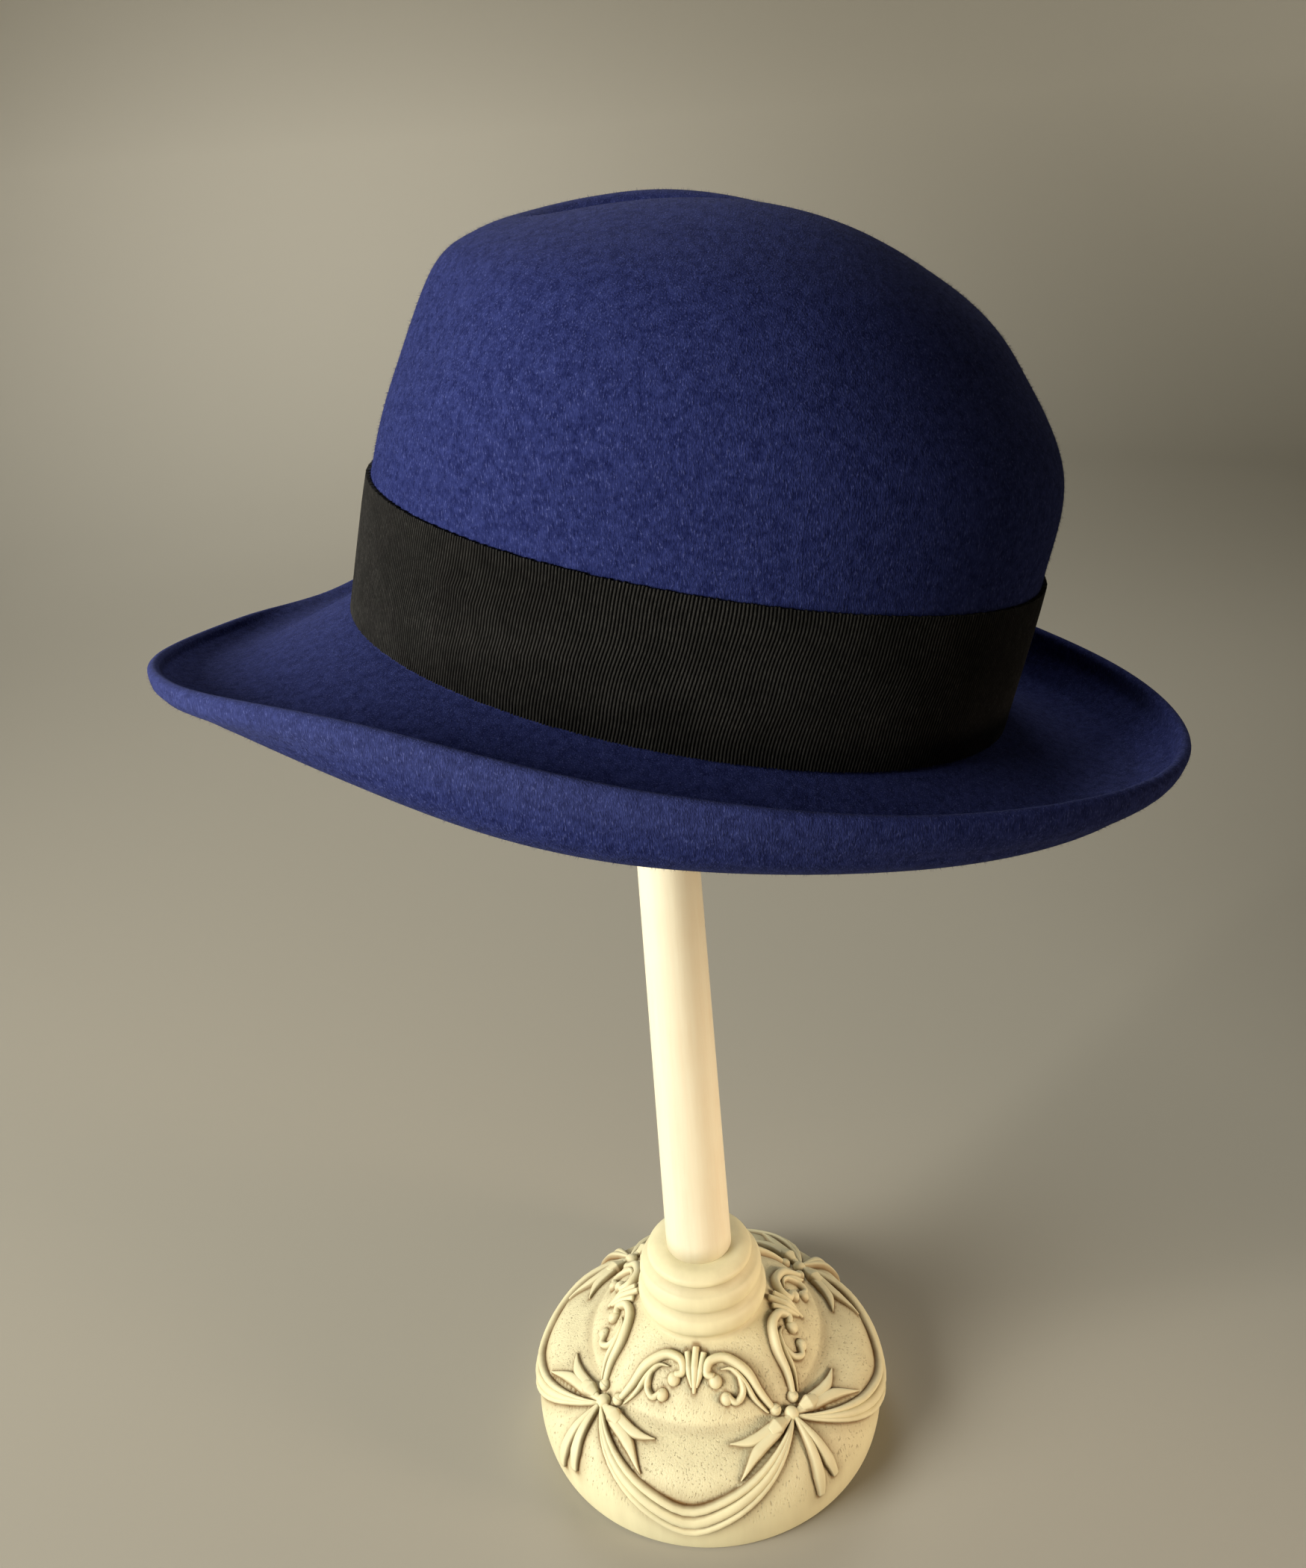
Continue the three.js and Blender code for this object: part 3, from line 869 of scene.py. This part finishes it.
# %% [markdown]
# ## The stand
# Foot, post and head are turned about Z, so each is an outline spun round, which a Screw modifier could
# also do. The foot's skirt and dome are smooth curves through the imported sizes, its collar is three rounded
# rings of which the last rolls in to the post, and the post is a straight taper.

# %% Draw the foot's outline
# outlines are rows of radius and height
SKIRT = (
    (0.0665, 0.0), (0.068, 0.002), (0.069, 0.010), (0.0683, 0.018),
    (0.0655, 0.025), (0.060, 0.031), (0.0475, 0.0365),
)
DOME = ((0.046, 0.0376), (0.041, 0.0435), (0.0335, 0.0505), (0.0235, 0.057))
COLLAR_RINGS = (
    # radius, middle, half height and waist
    (0.0250, 0.0628, 0.0046, 0.0220),
    (0.0236, 0.0732, 0.0046, 0.0206),
    (0.0202, 0.0812, 0.0024, 0.0174),
)
COLLAR_ROLL = ((0.0177, 0.0841), (0.0162, 0.0845), (0.0146, 0.0846), (0.0129, 0.0845))
OUTLINE_STEPS = 11
RING_BENDS = np.radians(np.arange(-60, 61, 10))


def smooth_line(points, steps):
    """A smooth line through points, with so many steps between neighbours."""
    place = np.linspace(0, len(points) - 1, (len(points) - 1) * steps + 1)
    return np.stack([smooth_column(points, 0, place), smooth_column(points, 1, place)], axis=-1)


def collar_ring(radius, middle, half, waist):
    """The outside of one rounded ring of the collar."""
    outs = waist + (radius - waist) * np.cos(RING_BENDS)
    return np.stack([outs, middle + half * np.sin(RING_BENDS)], axis=-1)


collar = np.concatenate([*(collar_ring(*ring) for ring in COLLAR_RINGS), COLLAR_ROLL])
foot_line = np.concatenate([smooth_line(SKIRT, OUTLINE_STEPS), smooth_line(DOME, OUTLINE_STEPS), collar])
print("points on the foot's outline:", len(foot_line))

# %% [markdown]
# ## Turning the stand
# The lathe's work is copied by spinning the outlines: the foot, the tapered post on it, and the head with a
# low dome that carries the crown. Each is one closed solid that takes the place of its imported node.

# %% Turn the stand
STAND_SIDES = 420
POST_ENDS = np.array([(0.0125, 0.0843), (0.0084, 0.4095)])
POST_RINGS = 40
HEAD_RADIUS, HEAD_SEAT, HEAD_RIM, HEAD_DOME = 0.034, 0.4098, 0.006, 0.012
HEAD_RINGS = 15


def turned_piece(name, outline, material, node):
    """A closed solid spun from an outline whose ends are joined to the axis by flat ends."""
    rings = spun_rings(outline, STAND_SIDES)[::-1]
    points, faces = capped_rings(rings, [0, 0, outline[-1, 1]], [0, 0, outline[0, 1]])
    piece = make_piece(name, points, faces, material)
    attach(piece, "root")
    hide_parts(node)
    return piece


foot = turned_piece("cast_foot", foot_line, IVORY_CASTING, "stand_base")
share = np.linspace(0, 1, POST_RINGS)[:, None]
post_line = POST_ENDS[0] * (1 - share) + POST_ENDS[1] * share
turned_piece("turned_post", post_line, IVORY_WOOD, "stand_post")
bends = np.linspace(0, math.pi / 2, HEAD_RINGS + 1)[:-1]
head_top = np.stack([HEAD_RADIUS * np.cos(bends), HEAD_SEAT + HEAD_RIM + HEAD_DOME * np.sin(bends)], axis=-1)
head_line = np.concatenate([[(HEAD_RADIUS, HEAD_SEAT)], head_top])
turned_piece("stand_cap", head_line, IVORY_WOOD, "stand_head")

# %% [markdown]
# ## The foot's ornament
# The foot is cast with an old garland pattern, the same in each quarter: a pair of scrolls about a small
# palmette on the dome, a swag below it on the skirt, and a bow at each corner. It could be sculpted or
# pushed out of the foot by a height map. Strips along drawn lines give cleaner edges, round on top for
# scrolls and folds and flat for ribbon ends. A line is given on the foot itself: degrees round from the
# quarter's middle, and millimetres up the outline from the step between skirt and dome.

# %% Helpers for strips on the foot
QUARTER_MIDDLE = math.radians(101)
CORNER = 45.0
STEP_HEIGHT = 0.037
STRIP_STEPS = 28
STRIP_SIDES = 14
STRIP_SINK = 0.5
ROUND, FLAT = 1.0, 0.4

outline_run = np.concatenate([[0], np.cumsum(np.linalg.norm(np.diff(foot_line, axis=0), axis=1))])
step_run = np.interp(STEP_HEIGHT, foot_line[:, 1], outline_run)


def on_foot(degrees, up):
    """Points on the foot, at degrees from the quarter's middle and metres up its outline from the step."""
    angle = QUARTER_MIDDLE + np.radians(degrees)
    radius = np.interp(step_run + up, outline_run, foot_line[:, 0])
    height = np.interp(step_run + up, outline_run, foot_line[:, 1])
    return np.stack([radius * np.sin(angle), -radius * np.cos(angle), height], axis=-1)


def strip_rings(line, half_widths, heights, top):
    """Rings of a half sunk strip along a line of (degrees, millimetres), its middle and its half width."""
    place = np.linspace(0, len(line) - 1, STRIP_STEPS)
    degrees = smooth_column(line, 0, place)
    up = smooth_column(line, 1, place) / 1000
    share = np.linspace(0, 1, STRIP_STEPS)
    width = np.interp(share, np.linspace(0, 1, len(half_widths)), half_widths) / 1000
    height = np.interp(share, np.linspace(0, 1, len(heights)), heights) / 1000
    small = 0.0005
    middle = on_foot(degrees, up)
    normal = unit(np.cross(on_foot(degrees + 0.5, up) - middle, on_foot(degrees, up + small) - middle))
    along = unit(np.gradient(middle, axis=0))
    across = unit(np.cross(normal, along))
    rings = []
    for turn in np.linspace(0, 2 * math.pi, STRIP_SIDES, endpoint=False):
        sideways = across * (width * math.cos(turn))[:, None]
        rise = max(math.sin(turn), 0) ** top + min(max(math.sin(turn), -STRIP_SINK), 0)
        rings.append(middle + sideways + normal * (height * rise)[:, None])
    return np.stack(rings, axis=1), middle, width


print("step between skirt and dome at", round(step_run * 1000, 1), "mm up the outline")

# %% [markdown]
# ## One quarter of the garland
# A quarter is the same left and right of its middle, so most strokes are drawn once and mirrored. A bead is
# a very short stroke as wide as it is long. A swag is cloth hung between two bows in three folds. Rows give
# the line, then half widths and heights along it.

# %% Draw the ornament of one quarter
POINT = 0.15
SWAG_TOP = -5.0
SWAG_END = {"width": 0.6, "height": 1.4}
SWAG_SAG = 1.35


def bead(degrees, up, radius):
    """A stroke so short and wide that it is a round bead."""
    bulge = tuple(radius * np.sqrt(1 - np.linspace(-0.99, 0.99, STRIP_STEPS) ** 2))
    return ((degrees, up + radius), (degrees, up), (degrees, up - radius)), bulge, bulge, ROUND


def swag(drop, half_width, height):
    """One fold of the swag between two bows. It sags most in the quarter's middle."""
    across = np.linspace(-CORNER, CORNER, 9)
    sag = 1 - np.abs(across / CORNER) ** SWAG_SAG
    line = tuple((float(degrees), SWAG_TOP - drop * float(fall)) for degrees, fall in zip(across, sag))
    widths = (SWAG_END["width"], half_width, half_width * 1.25, half_width, SWAG_END["width"])
    heights = (SWAG_END["height"], height, height * 1.2, height, SWAG_END["height"])
    return line, widths, heights, ROUND


MIRRORED_STROKES = {
    # line of (degrees, millimetres up), half widths and heights in millimetres along it, and the top
    "scroll": (
        ((12, 18), (7.5, 19.5), (10.5, 23.5), (22, 23.8), (32, 17.5), (35.5, 8.5), (39, 1)),
        (1.4, 1.8, 2.1, 1.2),
        (2.4, 3.0, 2.8, 1.6),
        ROUND,
    ),
    "inner scroll": (
        ((17, 20.2), (24, 19.4), (28.8, 14.5), (31.5, 7.5), (36, 0.5)),
        (POINT, 1.1, 1.2, 0.4),
        (0.8, 2.0, 2.0, 0.8),
        ROUND,
    ),
    "scroll bead": bead(12.6, 16.4, 2.6),
    "curl": (
        ((18, 11), (22, 8.2), (26.8, 10.8), (27.3, 15.5), (24.5, 19.5)),
        (1.2, 1.4, 1.2, POINT),
        (2.1, 2.4, 2.1, 1.2),
        ROUND,
    ),
    "curl bead": bead(17.4, 10.0, 2.4),
    "side leaf": (((1.2, 14.5), (3.8, 20.5), (6.4, 26.6)), (0.5, 1.7, 1.3), (1, 2.6, 1.8), ROUND),
    "upper fork": (
        ((44, -4.5), (34, -5), (24, -6.4), (15.5, -5.6)),
        (0.8, 2.3, 2.0, POINT),
        (1.8, 2.5, 2.0, 1),
        FLAT,
    ),
    "lower fork": (
        ((44, -4.5), (34.5, -6.8), (25, -10.6), (17, -18)),
        (0.8, 2.3, 2.2, POINT),
        (1.8, 2.5, 2.0, 1),
        FLAT,
    ),
    "ribbon fold": (((40.5, -4.6), (36.5, -5.2), (32.5, -6)), (1.6, 3.2, 2.2), (2.2, 3.6, 2.6), FLAT),
    "bow loop": bead(39.6, 0.4, 2.4),
}
SINGLE_STROKES = {
    "leaf": (((0, 12.5), (0, 21), (0, 28.6)), (0.6, 1.8, 1.3), (1, 3.0, 1.8), ROUND),
    "upper fold": swag(22.0, 1.5, 2.4),
    "middle fold": swag(26.5, 2.1, 2.3),
    "lower fold": swag(31.0, 1.5, 1.8),
    "knot": bead(CORNER, -4, 2.9),
    "left tail": (
        ((45, -6), (46.4, -15), (47.6, -24), (48.6, -31)),
        (0.8, 1.8, 2.5, 1.6),
        (2, 2.3, 2.1, 1.4),
        FLAT,
    ),
    "right tail": (
        ((45, -6), (43.6, -17), (42.7, -27), (42.3, -35)),
        (0.8, 1.8, 2.5, 1.6),
        (2, 2.3, 2.1, 1.4),
        FLAT,
    ),
}

strokes = list(SINGLE_STROKES.values())
for line, *section in MIRRORED_STROKES.values():
    strokes.append((line, *section))
    strokes.append((tuple((-degrees, up) for degrees, up in line), *section))
print("strokes in a quarter:", len(strokes))

# %% [markdown]
# ## Casting the garland
# The strokes of a quarter are set four times round the foot and kept as one piece, as the mould made them.
# Each stroke carries a mark that says where glaze stays: low on its sides. The middle lines are kept too,
# much finer than the strips, because the next step needs them.

# %% Cast the ornament
QUARTERS = 4
CLEAN_TOP = (0.1, 0.85)
FINER = 5
steps = np.arange(STRIP_STEPS)
fine_steps = np.linspace(0, STRIP_STEPS - 1, FINER * STRIP_STEPS)
relief_points, relief_faces, relief_hollow, stroke_middles, stroke_widths = [], [], [], [], []
ring_height = np.sin(np.linspace(0, 2 * math.pi, STRIP_SIDES, endpoint=False))
ring_hollow = 1 - smoothstep(*CLEAN_TOP, ring_height)
for quarter in range(QUARTERS):
    turn = np.array(Matrix.Rotation(quarter * math.pi / 2, 3, "Z"))
    for stroke in strokes:
        strip, middle, width = strip_rings(*stroke)
        first = len(relief_hollow)
        ends = np.arange(STRIP_SIDES)
        relief_points.append(strip.reshape(-1, 3) @ turn.T)
        relief_faces.extend((grid_faces(STRIP_STEPS, STRIP_SIDES) + first).tolist())
        relief_faces.append((ends + first).tolist())
        relief_faces.append((ends[::-1] + first + (STRIP_STEPS - 1) * STRIP_SIDES).tolist())
        relief_hollow.extend(np.tile(ring_hollow, STRIP_STEPS).tolist())
        columns = [np.interp(fine_steps, steps, column) for column in (middle @ turn.T).T]
        stroke_middles.append(np.stack(columns, axis=-1))
        stroke_widths.append(np.interp(fine_steps, steps, width))
relief = make_piece("cast_ornament", np.concatenate(relief_points), relief_faces, IVORY_CASTING)
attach(relief, "root")

# %% [markdown]
# ## Glaze in the hollows
# The glaze sits in the grooves between the collar's rings, along the step between skirt and dome, and
# beside every stroke of the ornament. It could be painted by hand as vertex colour. Here each point of the
# foot gets two numbers instead: how hollow it is there, and whether the ground is pebbled. A search tree of
# the strokes' middle lines tells how near each point is to one.

# %% Mark the hollows of the foot
# grooves are rows of height and spread
GROOVES = ((0.0370, 0.0012), (0.0578, 0.0012), (0.0680, 0.0012), (0.0784, 0.0010))
GROOVE_GLAZE = 0.4
STROKE_GLAZE = 0.95
GLAZE_SPREAD = 0.0011
HAZE = 0.32
HAZE_SPREAD = 0.0036
PEBBLED_FROM, PEBBLED_TO = (0.012, 0.018), (0.055, 0.057)

foot_points = np.empty(len(foot.data.vertices) * 3)
foot.data.vertices.foreach_get("co", foot_points)
foot_points = foot_points.reshape(-1, 3)
hollow = np.zeros(len(foot_points))
for level, spread in GROOVES:
    hollow = np.maximum(hollow, GROOVE_GLAZE * np.exp(-(((foot_points[:, 2] - level) / spread) ** 2)))
middles, widths = np.concatenate(stroke_middles), np.concatenate(stroke_widths)
nearby = KDTree(len(middles))
for k, middle in enumerate(middles):
    nearby.insert(middle, k)
nearby.balance()
for k, point in enumerate(foot_points):
    _, stroke, distance = nearby.find(point)
    away = max(distance - widths[stroke], 0)
    line = STROKE_GLAZE * math.exp(-((away / GLAZE_SPREAD) ** 2))
    haze = HAZE * math.exp(-((away / HAZE_SPREAD) ** 2))
    hollow[k] = max(hollow[k], line, haze)
foot_height = foot_points[:, 2]
pebbled = smoothstep(*PEBBLED_FROM, foot_height) * (1 - smoothstep(*PEBBLED_TO, foot_height))
mark_points(foot, "hollow", hollow)
mark_points(foot, "pebbled", pebbled)
mark_points(relief, "hollow", np.array(relief_hollow) * STROKE_GLAZE)
print("hollow points:", int((hollow > GROOVE_GLAZE).sum()), "of", len(hollow))

# %% [markdown]
# ## The studio
# A studio hangs paper from the wall and lets it sweep round onto the floor, so that no corner shows. This
# sweep goes all the way round, because the hat is also looked at from other sides. It is one outline spun
# about Z. Its colour is paler up the wall and darker on the floor: painted light on the wall and painted
# shade on the floor.

# %% Build the studio
FLOOR_PAINTED_SHADE = (0.34, 0.325, 0.28, 1)
WALL_PAINTED_LIGHT = (0.64, 0.61, 0.53, 1)
FLOOR_MIDDLE, FLOOR_RADIUS, WALL_RADIUS, WALL_HEIGHT = 0.02, 1.7, 2.6, 4.5
WALL_RINGS, WALL_SIDES = 24, 128
PAINTED_LIGHT_PER_METRE = 2.0

wall_bend = np.linspace(0, math.pi / 2, WALL_RINGS)
sweep = WALL_RADIUS - FLOOR_RADIUS
sweep_line = np.stack([FLOOR_RADIUS + sweep * np.sin(wall_bend), sweep * (1 - np.cos(wall_bend))], axis=-1)
bowl_line = np.concatenate([[(FLOOR_MIDDLE, 0.0)], sweep_line, [(WALL_RADIUS, WALL_HEIGHT)]])
floor_material, floor_tree, floor_shader = new_material("pale_floor", 0.9, Specular_IOR_Level=0.1)
floor_place = add_node(floor_tree, "ShaderNodeSeparateXYZ", {0: object_place(floor_tree)})
# painted light: the colour turns from the darker floor tone to the paler wall tone with height
painted_wall_light = math_node(floor_tree, "MULTIPLY", floor_place.outputs["Z"], PAINTED_LIGHT_PER_METRE, clamp=True)
floor_tree.links.new(mix_colour(floor_tree, painted_wall_light, FLOOR_PAINTED_SHADE, WALL_PAINTED_LIGHT), floor_shader.inputs["Base Color"])
bowl_rings = spun_rings(bowl_line, WALL_SIDES)
bowl_faces = face_list(grid_faces(len(bowl_line), WALL_SIDES), np.arange(WALL_SIDES)[None])
bowl = make_piece("studio_bowl", bowl_rings, bowl_faces, floor_material)
bowl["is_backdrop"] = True

# %% [markdown]
# ## The light
# One broad soft light stands at the camera's left, higher than the hat, as a tall window would. A small
# warm one lies low at the right: it stands in for light that a warm surface throws back onto the post and
# the foot. A weak one behind keeps the far side from going black, one more washes the wall, and the sky
# gives a low fill. An area light shines over half a room. Narrower spreads aim the lights, so the floor that
# the camera sees stays even. From behind, the floor under the window is bright.

# %% Light the studio
FILL_STRENGTH = 0.045
FILL_COLOUR = (1.0, 0.96, 0.88, 1)
LIGHTS = {
    # turn from the camera in degrees, distance and height, distance and height of the aim, size,
    # spread in degrees, power and colour
    "window": (-64, (1.60, 0.84), (0.0, 0.33), 0.95, 130, 29.5, (1.0, 0.95, 0.84)),
    "warm bounce": (64, (0.70, 0.16), (0.0, 0.10), 0.18, 40, 0.27, (1.0, 0.77, 0.55)),
    "back light": (185, (1.20, 1.30), (0.0, 0.33), 0.80, 100, 2.8, (1.0, 0.97, 0.90)),
    "wall wash": (195, (1.80, 2.30), (1.8, 0.00), 0.80, 70, 6.5, (1.0, 0.97, 0.90)),
}


def soft_light(name, turn, stand, aim, size, spread, power, colour):
    """A square area light at a turn round the post from the camera. It faces a point at the same turn."""
    data = bpy.data.lights.new(name, "AREA")
    data.size = size
    data.energy = power
    data.color = colour
    data.spread = math.radians(spread)
    light = bpy.data.objects.new(name, data)
    bpy.context.scene.collection.objects.link(light)
    light.visible_camera = False
    angle = CAMERA_AZIMUTH + math.radians(turn)
    ahead = Vector((math.sin(angle), -math.cos(angle), 0))
    place, target = (ahead * distance + Vector((0, 0, height)) for distance, height in (stand, aim))
    light.location = place
    light.rotation_euler = (target - place).to_track_quat("-Z", "Y").to_euler()


for light_name, settings in LIGHTS.items():
    soft_light(light_name, *settings)
world = bpy.data.worlds.new("studio")
world.use_nodes = True
world.node_tree.nodes["Background"].inputs["Color"].default_value = FILL_COLOUR
world.node_tree.nodes["Background"].inputs["Strength"].default_value = FILL_STRENGTH
bpy.context.scene.world = world
bpy.context.scene.view_settings.view_transform = "Standard"

# %% [markdown]
# ## The boxes
# The imported box and the dressed box are printed, so that the two can be compared.

# %% Print the boxes and finish
DRESSED_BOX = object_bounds()
for name, box in (("packed", CAD_BOX), ("dressed", DRESSED_BOX)):
    print(name, "box", [round(x, 4) for corner in box for x in corner])
